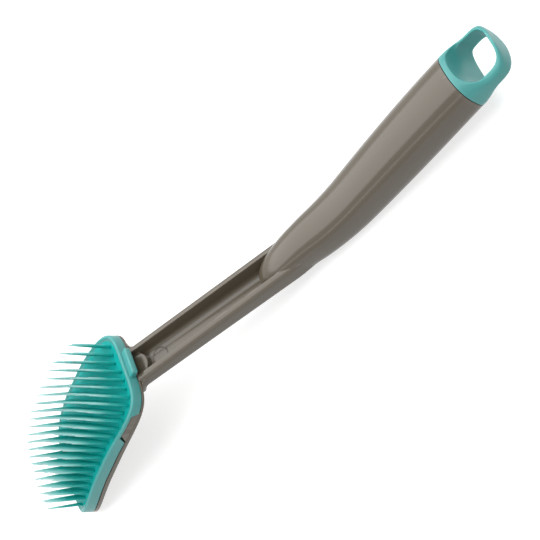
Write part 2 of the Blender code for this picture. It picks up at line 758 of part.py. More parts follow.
def toe_point():
    """Middle of the head's front lower edge."""
    return HEAD_IN_NECK @ Vector((-HEAD_CHORD / 2, 0.0, bowed(-HEAD_CHORD / 2, HEAD_THICKNESS)))


def back_angle():
    """Angle of the line on which the back rests: the head's front edge and the flat on the grip's back."""
    toe = toe_point()
    angles = []
    for i in range(SPINE_STEPS + 1):
        distance = GRIP_LENGTH * i / SPINE_STEPS
        heel = stand([(0.0, REST_FLAT_DEPTH - grip_depth(distance))], distance)[0]
        angles.append(math.atan2(heel.z - toe.z, heel.x - toe.x))
    return min(angles)


def corners_in_world(items):
    """The smallest and largest coordinates of the finished pieces."""
    graph = bpy.context.evaluated_depsgraph_get()
    points = []
    for item in items:
        solid = item.evaluated_get(graph)
        points += [solid.matrix_world @ vertex.co for vertex in solid.data.vertices]
    low = Vector([min(point[axis] for point in points) for axis in range(3)])
    high = Vector([max(point[axis] for point in points) for axis in range(3)])
    return low, high


clear_scene()
parts = new_collection("dish_brush")
cutters = new_collection("cutters")
lying = new_frame("lying", Matrix.Rotation(back_angle(), 4, "Y"))
neck_seat = new_frame("neck_seat", NECK_PITCHED, lying)
head_seat = new_frame("head_seat", HEAD_IN_NECK, lying)
seam_place, seam_heading = spine(GRIP_LENGTH)
cap_place = Matrix.Translation(seam_place) @ Matrix.Rotation(-seam_heading, 4, "Y")
cap_seat = new_frame("cap_seat", cap_place, lying)

grey = plastic("warm_grey_polypropylene", (0.26, 0.24, 0.21), 0.36)
teal = plastic("teal_polypropylene", (0.10, 0.39, 0.36), 0.42)
soft_teal = plastic("teal_soft_rubber", (0.16, 0.45, 0.40), 0.55)
pieces = [handle(grey), end_cap(teal), head_frame(teal), bristle_pad(soft_teal)]

low, high = corners_in_world(pieces)
lying.location = (-(low.x + high.x) / 2, -(low.y + high.y) / 2, -low.z)
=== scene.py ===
import math

import bmesh
import bpy
from mathutils import Matrix, Vector


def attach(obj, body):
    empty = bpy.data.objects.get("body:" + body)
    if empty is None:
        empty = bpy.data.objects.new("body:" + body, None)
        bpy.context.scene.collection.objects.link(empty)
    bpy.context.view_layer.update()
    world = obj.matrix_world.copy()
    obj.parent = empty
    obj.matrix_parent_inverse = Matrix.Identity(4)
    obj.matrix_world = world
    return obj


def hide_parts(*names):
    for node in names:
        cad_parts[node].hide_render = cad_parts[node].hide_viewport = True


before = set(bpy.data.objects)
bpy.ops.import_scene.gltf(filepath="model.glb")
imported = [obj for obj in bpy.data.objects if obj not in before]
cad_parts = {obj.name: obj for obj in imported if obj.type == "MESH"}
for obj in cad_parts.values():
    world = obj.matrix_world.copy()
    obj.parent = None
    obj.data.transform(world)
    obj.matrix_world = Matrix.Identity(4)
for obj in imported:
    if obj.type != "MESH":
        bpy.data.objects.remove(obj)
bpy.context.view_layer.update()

# Lengths are metres and angles are degrees. x runs along the neck from its web to the cap, y across, and z
# out of the open channel. The brush lies on its back.
LIE_ANGLE = 8.164263
LIE_PLACE = (-0.055447, 0.0, 0.027289)

# Neck
NECK_PITCH = 3.3
NECK_LEVEL = 0.0410
NECK_HEAD_WIDTH = 0.0188
NECK_GRIP_WIDTH = 0.0180
NECK_HEAD_DEPTH = 0.0073
NECK_GRIP_DEPTH = 0.0093
NECK_WALL = 0.0034
NECK_FLOOR = 0.0015
NECK_BACK_ROUND = 0.0029
NECK_RIM_ROUND = 0.0024
NECK_LIP_ROUND = 0.0003
NECK_END = 0.1020
NECK_TUCK = 0.0016
NECK_TUCK_LENGTH = 0.0260
CHANNEL_ROUND = 0.0030
CHANNEL_DRAFT = 0.0008
CHANNEL_END = 0.0762
WEB_DROP = 0.0023
WEB_LENGTH = 0.0160
WEB_ROUND = 0.0004
JOIN_BITE = 0.0003
FILLET_ROUND = 0.0046
FILLET_RUN = 0.0040
FILLET_TUCK = 0.0007
FILLET_TOP_DROP = 0.0013
FILLET_BOTTOM_DROP = 0.0064
FILLET_FOOT_SHARE = 0.02
EJECTOR_RADIUS = 0.0037
EJECTOR_FROM_WEB = 0.0048
EJECTOR_GROOVE = 0.00026
NECK_RINGS = 48
CHANNEL_RINGS = 32
ROUND_STEPS = 14
FILLET_STEPS = 16
WEB_STEPS = 40
EJECTOR_STEPS = 64

# Grip
SPINE_DROP = 0.0045
BEND_START = 0.0840
NOSE_TO_BEND = 0.0260
NOSE_REACH = 0.0340
NOSE_SINK = 0.0042
GRIP_LENGTH = 0.0940
BEND_LENGTH = 0.0300
BEND_ANGLE = 14.3
EASE_ANGLE = 3.5
GRIP_START_WIDTH = 0.0190
GRIP_START_RISE = 0.0086
GRIP_START_DEPTH = 0.0084
GRIP_BELLY = 0.0012
GRIP_END_WIDTH = 0.0256
GRIP_END_RISE = 0.0105
GRIP_END_DEPTH = 0.0098
GRIP_POWER = 2.3
GRIP_BACK_POWER = 2.8
GRIP_WALL = 0.0024
BORE_DEPTH = 0.0560
REST_PLANE = 0.00002
GROUND_LENGTH = 0.2
GROUND_HALF_WIDTH = 0.05
SPINE_STEPS = 60
NOSE_TIP_SHARE = 0.05
NOSE_RINGS = 26
GRIP_RINGS = 44
BORE_RINGS = 12

# Cap
SEAM_GAP = 0.0003
CAP_LENGTH = 0.0210
CAP_LOOP_DEPTH = 0.0092
CAP_FLARE = 1.05
CAP_DROP = 0.56
CAP_END_POWER = 8.3
CAP_CORNER_POWER = 2.7
LOOP_POWER = 3.7
LOOP_WALL = 0.0015
HOLE_WIDTH = 0.0213
HOLE_POWER = 3.2
HOLE_FRONT_START = 0.0037
HOLE_BACK_START = 0.0059
HOLE_ROUND = 0.0007
PLUG_LENGTH = 0.0120
PLUG_SHARE = 0.78
CAP_TIP_SHARE = 0.06
CAP_RINGS = 40
HOLE_RINGS = 6

# Head
HEAD_LENGTH = 0.0788
HEAD_REAR_WIDTH = 0.0474
HEAD_FRONT_WIDTH = 0.0498
HEAD_BOW_ANGLE = 25.8
HEAD_PITCH = 29.5
HEAD_MIDDLE_BEHIND_WEB = 0.0444
HEAD_MIDDLE_DROP = 0.0089
HEAD_POWER = 5.2
HEAD_THICKNESS = 0.0066
HEAD_BELLY = 0.0009
HEAD_REAR_THINNING = 0.0014
FLANGE_TOP = 0.0054
SEAT_TOP = 0.0032
SEAT_GAP = 0.0003
SKIRT_WALL = 0.0016
SKIRT_BOTTOM = 0.0051
FLOOR_TOP = 0.0020
FLOOR_BOTTOM = 0.0029
RIM_ROUND = 0.0007
RIM_CREST = 0.0009
RIM_SLOPE_END = 0.0025
EDGE_ROUND = 0.0003
TAB_WIDTH = 0.0136
TAB_REACH = 0.0035
TAB_HEIGHT = 0.0026
TAB_DROP = 0.0012
TAB_ROUND = 0.0010
TAB_EDGE_ROUND = 0.0005
TAB_EDGE_ANGLE = 40
TAB_EDGE_STEPS = 3
LUG_REAR = 0.0079
LUG_LENGTH = 0.0140
LUG_FRONT_SLOPE = 0.0039
LUG_REAR_SLOPE = 0.0020
LUG_TOP = 0.0016
LUG_BACK_DROP = 0.0035
NOTCH_GAP = 0.0003
NOTCH_FRONT_GAP = 0.0014
ROOM_RISE = 0.019
CUT_RISE = 0.01
CUT_DROP = 0.02
EDGE_STEPS = 4
RIM_STEPS = 7
SLOPE_STEPS = 10

# Bristles
MAT_TOP = 0.0007
MAT_THICKNESS = 0.0010
MAT_INSET = 0.0019
ROW_PITCH = 0.00354
BRISTLE_PITCH = 0.0027
BRISTLE_LENGTH = 0.0170
ROOT_WIDTH = 0.0014
TIP_WIDTH = 0.0004
TAPER_POWER = 1.7
REAR_LEAN = 6.6
FRONT_LEAN = -2.0
UNEVENNESS = 0.8
ROW_TURN = 44.3
ROW_SHEAR = -0.155
ROW_FAN = 2.0
BRISTLE_MARGIN = 0.00305
BRISTLE_SIDES = 8
BRISTLE_RINGS = 7
ROWS = 41
ROW_STEPS = 60
SWAY_SEED = 7
ROLL_SEED = 3

OVERRUN = 0.0100
SECTION_POINTS = 112
HEAD_POINTS = 168
ARC_STEPS = 8
SHARP_ANGLE = 32.0
BRISTLE_SHARP_ANGLE = 50.0

HEAD_BOW_RADIUS = HEAD_LENGTH / math.radians(HEAD_BOW_ANGLE)
HEAD_CHORD = 2 * HEAD_BOW_RADIUS * math.sin(math.radians(HEAD_BOW_ANGLE) / 2)
RIM_SLOPE_DROP = MAT_TOP + EDGE_ROUND / 3
LUG_INNER = HEAD_REAR_WIDTH / 3
LUG_PROUD = 2 * JOIN_BITE / 3

LYING = Matrix.Translation(LIE_PLACE) @ Matrix.Rotation(math.radians(LIE_ANGLE), 4, "Y")
LEVEL = Matrix.Translation((NECK_LEVEL, 0.0, 0.0))
NECK = LYING @ LEVEL @ Matrix.Rotation(math.radians(NECK_PITCH), 4, "Y") @ LEVEL.inverted()
HEAD_IN_NECK = Matrix.Translation((-HEAD_MIDDLE_BEHIND_WEB, 0.0, -HEAD_MIDDLE_DROP)) @ Matrix.Rotation(
    -math.radians(HEAD_PITCH), 4, "Y"
)
HEAD = LYING @ HEAD_IN_NECK


# Mesh tools


def linear(hex_colour):
    """An sRGB hex colour as the linear colour that a shader takes."""
    shares = [int(hex_colour[i : i + 2], 16) / 255 for i in (1, 3, 5)]
    lit = [share / 12.92 if share <= 0.04045 else ((share + 0.055) / 1.055) ** 2.4 for share in shares]
    return [*lit, 1.0]


def between(start, end, share):
    return start + (end - start) * share


def clamped(share):
    return min(max(share, 0.0), 1.0)


def eased(share):
    share = clamped(share)
    return share * share * (3 - 2 * share)


def signed_power(value, power):
    return math.copysign(abs(value) ** power, value)


def arc(x, y, radius, first, last, steps=ARC_STEPS):
    """Points along an arc, from one angle to another."""
    turns = [math.radians(between(first, last, i / steps)) for i in range(steps + 1)]
    return [(x + radius * math.cos(turn), y + radius * math.sin(turn)) for turn in turns]


def oval(half_width, top, bottom, power, back_power):
    """A rounded oval between two heights, whose back half may be boxier."""
    points = []
    for i in range(SECTION_POINTS):
        turn = 2 * math.pi * (i + 0.5) / SECTION_POINTS
        here = back_power if turn > math.pi else power
        across = half_width * signed_power(math.cos(turn), 2 / here)
        rise = (top + bottom) / 2 + (top - bottom) / 2 * signed_power(math.sin(turn), 2 / here)
        points.append((across, rise))
    return points


def solid(name, shape):
    """Turns a bmesh into an object at the origin with its faces pointing out."""
    bmesh.ops.recalc_face_normals(shape, faces=shape.faces)
    mesh = bpy.data.meshes.new(name)
    shape.to_mesh(mesh)
    shape.free()
    piece = bpy.data.objects.new(name, mesh)
    bpy.context.scene.collection.objects.link(piece)
    return piece


def skin(name, rings, place):
    """Skins rings of equally many points, closed at both ends, and puts them in their place."""
    shape = bmesh.new()
    rows = [[shape.verts.new(place @ Vector(point)) for point in ring] for ring in rings]
    for before, after in zip(rows, rows[1:]):
        for i in range(len(before)):
            shape.faces.new((before[i - 1], before[i], after[i], after[i - 1]))
    shape.faces.new(rows[0])
    shape.faces.new(rows[-1])
    return solid(name, shape)


def slab(name, outline, low, high, place):
    """A flat outline in x and y, from low to high."""
    return skin(name, [[(x, y, z) for x, y in outline] for z in (low, high)], place)


def side_slab(name, outline, low, high, place):
    """A flat outline in x and z, which runs across from low to high."""
    return skin(name, [[(x, y, z) for x, z in outline] for y in (low, high)], place)


def carve(piece, steps):
    """Joins solids to a piece and cuts others from it, in the order given, and leaves it a plain mesh."""
    for operation, tool in steps:
        modifier = piece.modifiers.new(tool.name, "BOOLEAN")
        modifier.operation = operation
        modifier.object = tool
        modifier.solver = "EXACT"
    bpy.context.view_layer.update()
    graph = bpy.context.evaluated_depsgraph_get()
    mesh = bpy.data.meshes.new_from_object(piece.evaluated_get(graph))
    piece.modifiers.clear()
    piece.data = mesh
    for _, tool in steps:
        bpy.data.objects.remove(tool, do_unlink=True)
    return piece


def finish_piece(piece, material, body, replaced, sharp_angle=SHARP_ANGLE):
    """Gives a finished piece its material, its smooth shading and its place in the frame."""
    piece.data.materials.clear()
    piece.data.materials.append(material)
    for face in piece.data.polygons:
        face.material_index = 0
    piece.data.shade_smooth()
    piece.data.set_sharp_from_angle(angle=math.radians(sharp_angle))
    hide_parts(replaced)
    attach(piece, body)


# Handle


def spine_heading(distance):
    turn_in = BEND_ANGLE * clamped(distance / BEND_LENGTH)
    turn_out = EASE_ANGLE * clamped((distance - BEND_LENGTH) / (GRIP_LENGTH - BEND_LENGTH))
    return math.radians(turn_in - turn_out)


def spine(distance):
    """Place and heading of the grip's middle line, by distance past the start of the bend."""
    place = Vector((BEND_START, 0.0, -SPINE_DROP))
    if distance <= 0:
        return place + Vector((distance, 0.0, 0.0)), 0.0
    step = distance / SPINE_STEPS
    for i in range(SPINE_STEPS):
        heading = spine_heading(step * (i + 0.5))
        place += Vector((math.cos(heading), 0.0, math.sin(heading))) * step
    return place, spine_heading(distance)


def stand(points, distance):
    """Stands a flat section square to the spine."""
    place, heading = spine(distance)
    up = Vector((-math.sin(heading), 0.0, math.cos(heading)))
    return [place + Vector((0.0, across, 0.0)) + up * rise for across, rise in points]


def grip_size(distance):
    """Half width, rise and depth of the grip at a place along it."""
    share = clamped(distance / GRIP_LENGTH)
    half_width = between(GRIP_START_WIDTH, GRIP_END_WIDTH, 1 - (1 - share) ** 2) / 2
    rise = between(GRIP_START_RISE, GRIP_END_RISE, eased(share))
    depth = between(GRIP_START_DEPTH, GRIP_END_DEPTH, 1 - (1 - share) ** 2)
    return half_width, rise, depth + GRIP_BELLY * math.sin(math.pi * share)


def grip_body():
    """The grip: a bullet that rises out of the channel's floor and swells toward the seam."""
    distances = [-NOSE_TO_BEND * (1 - (i / NOSE_RINGS) ** 2) for i in range(NOSE_RINGS)]
    distances += [GRIP_LENGTH * i / GRIP_RINGS for i in range(GRIP_RINGS + 1)]
    rings = []
    for distance in distances:
        growth = clamped((distance + NOSE_TO_BEND) / NOSE_REACH)
        size = max(math.sqrt(1 - (1 - growth) ** 2), NOSE_TIP_SHARE)
        half_width, rise, depth = grip_size(distance)
        bottom = -between(NOSE_SINK, depth, eased(1 + distance / NOSE_TO_BEND))
        top = between(bottom, rise, size)
        rings.append(stand(oval(half_width * size, top, bottom, GRIP_POWER, GRIP_BACK_POWER), distance))
    return skin("grip_body", rings, LYING)


def bore_section(distance, share, gap):
    half_width, rise, depth = grip_size(distance)
    half = (half_width - GRIP_WALL) * share - gap
    top = (rise - GRIP_WALL) * share - gap
    bottom = -(depth - GRIP_WALL) * share + gap
    return oval(half, top, bottom, GRIP_POWER, GRIP_BACK_POWER)


def bore():
    """The hollow that the cap's plug sits in."""
    rings = []
    for i in range(BORE_RINGS + 1):
        distance = GRIP_LENGTH - BORE_DEPTH * (1 - i / BORE_RINGS)
        opening = between(PLUG_SHARE, 1.0, eased(2 * i / BORE_RINGS))
        rings.append(stand(bore_section(distance, opening, 0.0), distance))
    rings.append(stand(bore_section(GRIP_LENGTH, 1.0, 0.0), GRIP_LENGTH + OVERRUN))
    return skin("bore", rings, LYING)


def neck_tuck(x):
    """How far the neck's end draws in, so that it dies inside the grip."""
    return NECK_TUCK * clamped((x - NECK_END) / NECK_TUCK_LENGTH + 1)


def neck_depth(x):
    return between(NECK_HEAD_DEPTH, NECK_GRIP_DEPTH, clamped(x / BEND_START)) - neck_tuck(x)


def neck_half_width(x):
    return between(NECK_HEAD_WIDTH, NECK_GRIP_WIDTH, clamped(x / BEND_START)) / 2 - neck_tuck(x)


def neck_side(x, height):
    """Half width of the neck's outside at a height, on its rounded edges too."""
    rim_climb = max(height + NECK_RIM_ROUND, 0.0)
    back_climb = max(NECK_BACK_ROUND - neck_depth(x) - height, 0.0)
    rim = NECK_RIM_ROUND - math.sqrt(NECK_RIM_ROUND**2 - rim_climb**2)
    back = NECK_BACK_ROUND - math.sqrt(NECK_BACK_ROUND**2 - back_climb**2)
    return neck_half_width(x) - max(rim, back)


def trough():
    """The neck before it is hollowed."""
    rings = []
    for i in range(NECK_RINGS + 1):
        x = between(-HEAD_MIDDLE_BEHIND_WEB, NECK_END, i / NECK_RINGS)
        rim = neck_half_width(x) - NECK_RIM_ROUND
        back = neck_half_width(x) - NECK_BACK_ROUND
        low = -neck_depth(x) + NECK_BACK_ROUND
        outline = [
            *arc(rim, -NECK_RIM_ROUND, NECK_RIM_ROUND, 0, 90, ROUND_STEPS),
            *arc(-rim, -NECK_RIM_ROUND, NECK_RIM_ROUND, 90, 180, ROUND_STEPS),
            *arc(-back, low, NECK_BACK_ROUND, 180, 270),
            *arc(back, low, NECK_BACK_ROUND, 270, 360),
        ]
        rings.append([(x, across, rise) for across, rise in outline])
    return skin("neck_and_grip", rings, NECK)


def floor_height(x, across):
    """Height of the channel's floor at a place."""
    foot = neck_half_width(x) - NECK_WALL - CHANNEL_DRAFT - CHANNEL_ROUND
    climb = max(abs(across) - foot, 0.0)
    return -neck_depth(x) + NECK_FLOOR + CHANNEL_ROUND - math.sqrt(CHANNEL_ROUND**2 - climb**2)


def channel():
    """The hollow of the neck. Its upper edges flare, so that the rims are rounded on the inside too."""
    rings = []
    for i in range(CHANNEL_RINGS + 1):
        x = between(-WEB_LENGTH, CHANNEL_END, i / CHANNEL_RINGS)
        half = neck_half_width(x) - NECK_WALL
        low = -neck_depth(x) + NECK_FLOOR + CHANNEL_ROUND
        foot = half - CHANNEL_DRAFT - CHANNEL_ROUND
        lip = half + NECK_LIP_ROUND
        outline = [
            (lip, OVERRUN),
            (-lip, OVERRUN),
            *reversed(arc(-lip, -NECK_LIP_ROUND, NECK_LIP_ROUND, 0, 90)),
            *arc(-foot, low, CHANNEL_ROUND, 180, 270, ROUND_STEPS),
            *arc(foot, low, CHANNEL_ROUND, 270, 360, ROUND_STEPS),
            *reversed(arc(lip, -NECK_LIP_ROUND, NECK_LIP_ROUND, 90, 180)),
        ]
        rings.append([(x, across, rise) for across, rise in outline])
    return skin("channel", rings, NECK)


def neck_fillets():
    """Hollow corners in plan where the neck runs into the head's flange, tapering away under the plate."""
    edge = (HEAD_IN_NECK @ Vector((HEAD_CHORD / 2, 0.0, bowed(HEAD_CHORD / 2, HEAD_THICKNESS)))).x
    edge -= FILLET_TUCK
    half = [
        (edge - FILLET_ROUND - FILLET_RUN, 0.0),
        (edge - FILLET_ROUND, FILLET_ROUND),
        *arc(edge + FILLET_ROUND, FILLET_ROUND, FILLET_ROUND, 180, 270, FILLET_STEPS),
    ]
    rings = []
    for i in range(FILLET_STEPS + 1):
        height = between(-FILLET_BOTTOM_DROP, -FILLET_TOP_DROP, i / FILLET_STEPS)
        fullness = between(FILLET_FOOT_SHARE, 1.0, math.sin(math.pi / 2 * i / FILLET_STEPS))
        side = neck_side(0.0, height) - JOIN_BITE
        upper = [(x, side + reach * fullness, height) for x, reach in half]
        rings.append(upper + [(x, -y, height) for x, y, _ in reversed(upper)])
    return skin("neck_fillets", rings, NECK)


def web():
    """The round-fronted wall that closes the channel at the head, with a rounded lip."""
    radius = NECK_HEAD_WIDTH / 2 - NECK_WALL + CHANNEL_DRAFT + JOIN_BITE
    profile = [(radius, -NECK_HEAD_DEPTH + NECK_FLOOR / 2)]
    profile += arc(radius - WEB_ROUND, -WEB_DROP - WEB_ROUND, WEB_ROUND, 0, 90)
    back = -WEB_LENGTH - JOIN_BITE
    rings = []
    for reach, height in profile:
        front = arc(-radius, 0.0, reach, -90, 90, WEB_STEPS)
        rings.append([(x, y, height) for x, y in [*front, (back, reach), (back, -reach)]])
    return skin("web", rings, NECK)


def ejector_ring():
    """The fine round witness line of an ejector pin, as a ring to be cut from the channel's floor."""
    shape = bmesh.new()
    rows = []
    for i in range(EJECTOR_STEPS):
        turn = 2 * math.pi * i / EJECTOR_STEPS
        row = []
        for across, rise in ((-1, 1), (1, 1), (0, -1)):
            reach = EJECTOR_RADIUS + across * EJECTOR_GROOVE
            x = EJECTOR_FROM_WEB + reach * math.cos(turn)
            y = reach * math.sin(turn)
            row.append(shape.verts.new(NECK @ Vector((x, y, floor_height(x, y) + rise * EJECTOR_GROOVE))))
        rows.append(row)
    for i in range(len(rows)):
        for j in range(3):
            shape.faces.new((rows[i - 1][j - 1], rows[i - 1][j], rows[i][j], rows[i][j - 1]))
    return solid("ejector_ring", shape)


def bow(x):
    """Height of the bowed rim surface along the head."""
    return math.sqrt(HEAD_BOW_RADIUS**2 - x**2) - HEAD_BOW_RADIUS


def bowed(x, drop):
    """Height of a surface under the bowed rim. The lower ones draw up where the head thins at the rear."""
    thinning = HEAD_REAR_THINNING * eased(2 * x / HEAD_CHORD)
    return bow(x) - drop + thinning * clamped((drop - SEAT_TOP) / (HEAD_THICKNESS - SEAT_TOP))


def belly(x):
    reach = HEAD_LENGTH / 2 + OVERRUN
    return HEAD_BELLY * (1 - (x / reach) ** 2)


def head_outline(inset):
    """The head's rounded outline in plan, drawn in by an inset."""
    points = []
    for i in range(HEAD_POINTS):
        turn = 2 * math.pi * (i + 0.5) / HEAD_POINTS
        x = (HEAD_CHORD / 2 - inset) * signed_power(math.cos(turn), 2 / HEAD_POWER)
        half = between(HEAD_FRONT_WIDTH, HEAD_REAR_WIDTH, 0.5 + x / HEAD_LENGTH) / 2 - inset
        points.append((x, half * signed_power(math.sin(turn), 2 / HEAD_POWER)))
    return points


def head_sweep(name, profile):
    """Sweeps a profile of insets, drops and shares of the belly round the head's outline."""
    rings = []
    for inset, drop, belly_share in profile:
        rings.append([(x, y, bowed(x, drop) - belly_share * belly(x)) for x, y in head_outline(inset)])
    return skin(name, rings, HEAD)


def lug_block(name, side, gap, front_gap, foot):
    """A side lug of the handle, or the notch for it where there are gaps."""
    rear = HEAD_CHORD / 2 - LUG_REAR + gap
    front = rear - LUG_LENGTH - gap - front_gap
    top = LUG_TOP - gap
    rear_foot = rear + LUG_REAR_SLOPE
    front_top = front + LUG_FRONT_SLOPE
    outline = [
        (rear_foot, bowed(rear_foot, foot)),
        (rear, bowed(rear, top)),
        (front_top, bowed(front_top, top)),
        (front, bowed(front, foot)),
    ]
    outer = side * (HEAD_FRONT_WIDTH / 2 + OVERRUN)
    return side_slab(name, outline, side * LUG_INNER, outer, HEAD)


FAR_INSETS = (0.005, 0.009, 0.013, 0.017, 0.021)


def seat_profile(inset, top, bottom, belly_share, radius):
    """Profile of a plate with rounded edges, from the middle of its underside to the middle of its top."""
    profile = [(far, bottom, belly_share) for far in reversed(FAR_INSETS) if far > inset + radius]
    for x, z in arc(inset + radius, -bottom + radius, radius, 270, 180, EDGE_STEPS):
        profile.append((x, -z, belly_share))
    for x, z in arc(inset + radius, -top - radius, radius, 180, 90, EDGE_STEPS):
        profile.append((x, -z, 0.0))
    return profile + [(far, top, 0.0) for far in FAR_INSETS if far > inset + radius]


def tab_solid(name, gap, rise):
    """The release tab, or the room for it."""
    wall = HEAD_CHORD / 2
    corner_x = wall + TAB_REACH - TAB_ROUND
    corner_y = TAB_WIDTH / 2 - TAB_ROUND
    outline = [
        (wall - SKIRT_WALL / 2, -TAB_WIDTH / 2 - gap),
        *arc(corner_x, -corner_y, TAB_ROUND + gap, -90, 0),
        *arc(corner_x, corner_y, TAB_ROUND + gap, 0, 90),
        (wall - SKIRT_WALL / 2, TAB_WIDTH / 2 + gap),
    ]
    top = bow(wall) - TAB_DROP
    return slab(name, outline, top - TAB_HEIGHT - gap, top + rise, HEAD)


def neck_and_grip():
    """The whole grey moulding: seat, flange and lugs under the head, open neck, and hollow grip."""
    piece = trough()
    steps = [("UNION", neck_fillets()), ("DIFFERENCE", channel()), ("UNION", web())]
    room = head_sweep("head_room", [(-SEAT_GAP, FLANGE_TOP + JOIN_BITE, 0.0), (-SEAT_GAP, -ROOM_RISE, 0.0)])
    steps += [("DIFFERENCE", room), ("DIFFERENCE", tab_solid("tab_room", SEAT_GAP, OVERRUN))]
    steps += [("UNION", grip_body())]
    flange = seat_profile(0.0, FLANGE_TOP, HEAD_THICKNESS, 1.0, EDGE_ROUND)
    seat = seat_profile(SKIRT_WALL + SEAT_GAP, SEAT_TOP, FLANGE_TOP + 2 * JOIN_BITE, 0.0, EDGE_ROUND)
    steps += [("UNION", head_sweep("flange", flange)), ("UNION", head_sweep("seat", seat))]
    for side, word in ((-1, "near"), (1, "far")):
        block = lug_block("lug_" + word, side, 0.0, 0.0, FLANGE_TOP + JOIN_BITE)
        inner = SKIRT_WALL - NOTCH_GAP
        limit = head_sweep("lug_limit_" + word, [(LUG_PROUD, CUT_DROP, 0.0), (LUG_PROUD, -CUT_RISE, 0.0)])
        behind = head_sweep("lug_back_" + word, [(inner, LUG_BACK_DROP, 0.0), (inner, -CUT_RISE, 0.0)])
        carve(block, [("INTERSECT", limit), ("DIFFERENCE", behind)])
        steps.append(("UNION", block))
    steps += [("DIFFERENCE", bore()), ("DIFFERENCE", ejector_ring())]
    corners = [
        (0.0, -GROUND_HALF_WIDTH),
        (GROUND_LENGTH, -GROUND_HALF_WIDTH),
        (GROUND_LENGTH, GROUND_HALF_WIDTH),
        (0.0, GROUND_HALF_WIDTH),
    ]
    steps.append(("DIFFERENCE", slab("ground", corners, -OVERRUN, REST_PLANE, Matrix())))
    return carve(piece, steps)


# Cap


def cap_frame():
    place, heading = spine(GRIP_LENGTH)
    return LYING @ Matrix.Translation(place) @ Matrix.Rotation(-heading, 4, "Y")


def hanging_cap():
    """The teal cap: the grip's section thins to a loop, and a plug goes into the grip."""
    place = cap_frame()
    rings = []
    for i in range(CAP_RINGS + 1):
        share = math.sin(math.pi / 2 * i / CAP_RINGS)
        x = between(SEAM_GAP, CAP_LENGTH, share)
        narrowing = max((1 - share**CAP_END_POWER) ** (1 / CAP_CORNER_POWER), CAP_TIP_SHARE)
        half = between(1.0, CAP_FLARE, share) * narrowing * GRIP_END_WIDTH / 2
        thinning = eased(share / CAP_DROP)
        top = between(GRIP_END_RISE, CAP_LOOP_DEPTH / 2, thinning)
        bottom = -between(GRIP_END_DEPTH, CAP_LOOP_DEPTH / 2, thinning)
        power = between(GRIP_POWER, LOOP_POWER, thinning)
        back_power = between(GRIP_BACK_POWER, LOOP_POWER, thinning)
        rings.append([(x, across, rise) for across, rise in oval(half, top, bottom, power, back_power)])
    body = skin("hanging_cap", rings, place)
    inside = bore_section(GRIP_LENGTH - PLUG_LENGTH, 1.0, SEAM_GAP)
    mouth = bore_section(GRIP_LENGTH, 1.0, SEAM_GAP)
    plug_rings = [[(-PLUG_LENGTH, y, z) for y, z in inside], [(2 * SEAM_GAP, y, z) for y, z in mouth]]
    plug = skin("plug", plug_rings, place)
    return carve(body, [("UNION", plug), ("DIFFERENCE", hanging_hole(place))])


def hanging_hole(place):
    """The slanted hole through the loop, with flared edges so that its rims are rounded."""
    end = CAP_LENGTH - LOOP_WALL
    slant = (HOLE_BACK_START - HOLE_FRONT_START) / CAP_LOOP_DEPTH
    middle = (HOLE_BACK_START + HOLE_FRONT_START) / 2
    half_loop = CAP_LOOP_DEPTH / 2
    heights = [-GRIP_END_DEPTH, -half_loop]
    straight = half_loop - HOLE_ROUND
    heights += [between(-straight, straight, i / HOLE_RINGS) for i in range(HOLE_RINGS + 1)]
    heights += [half_loop, GRIP_END_RISE]
    rings = []
    for height in heights:
        flare = HOLE_ROUND * clamped((abs(height) - straight) / HOLE_ROUND) ** 2
        start = middle - slant * height
        outline = oval(HOLE_WIDTH / 2 + flare, end + flare / 2, start, HOLE_POWER, HOLE_POWER)
        rings.append([(x, across, height) for across, x in outline])
    return skin("hanging_hole", rings, place)


# Brush head


def head_shell():
    """The teal frame of the brush head: rounded rim, recess, floor, skirt, tab and notches."""
    profile = [(far, FLOOR_BOTTOM, 0.0) for far in reversed(FAR_INSETS)]
    profile += [(SKIRT_WALL, FLOOR_BOTTOM, 0.0), (SKIRT_WALL, SKIRT_BOTTOM, 0.0)]
    skirt_edge = arc(EDGE_ROUND, -SKIRT_BOTTOM + EDGE_ROUND, EDGE_ROUND, 270, 180, EDGE_STEPS)
    profile += [(x, -z, 0.0) for x, z in skirt_edge]
    profile += [(x, -z, 0.0) for x, z in arc(RIM_ROUND, -RIM_ROUND, RIM_ROUND, 180, 90, RIM_STEPS)]
    for i in range(SLOPE_STEPS + 1):
        inset = between(RIM_CREST, RIM_SLOPE_END, i / SLOPE_STEPS)
        profile.append((inset, RIM_SLOPE_DROP * (1 - (1 - i / SLOPE_STEPS) ** 2), 0.0))
    profile += [(RIM_SLOPE_END, FLOOR_TOP, 0.0)]
    profile += [(far, FLOOR_TOP, 0.0) for far in FAR_INSETS]
    piece = head_sweep("head_shell", profile)
    steps = [("UNION", soft_tab())]
    for side, word in ((-1, "near"), (1, "far")):
        notch = lug_block("notch_" + word, side, NOTCH_GAP, NOTCH_FRONT_GAP, HEAD_THICKNESS)
        back = [(SKIRT_WALL, FLOOR_BOTTOM, 0.0), (SKIRT_WALL, -CUT_RISE, 0.0)]
        carve(notch, [("DIFFERENCE", head_sweep("notch_back_" + word, back))])
        steps.append(("DIFFERENCE", notch))
    return carve(piece, steps)


def soft_tab():
    """The release tab with its outer edges rounded."""
    tab = tab_solid("tab", 0.0, 0.0)
    rounding = tab.modifiers.new("rounding", "BEVEL")
    rounding.width = TAB_EDGE_ROUND
    rounding.segments = TAB_EDGE_STEPS
    rounding.angle_limit = math.radians(TAB_EDGE_ANGLE)
    return carve(tab, [])


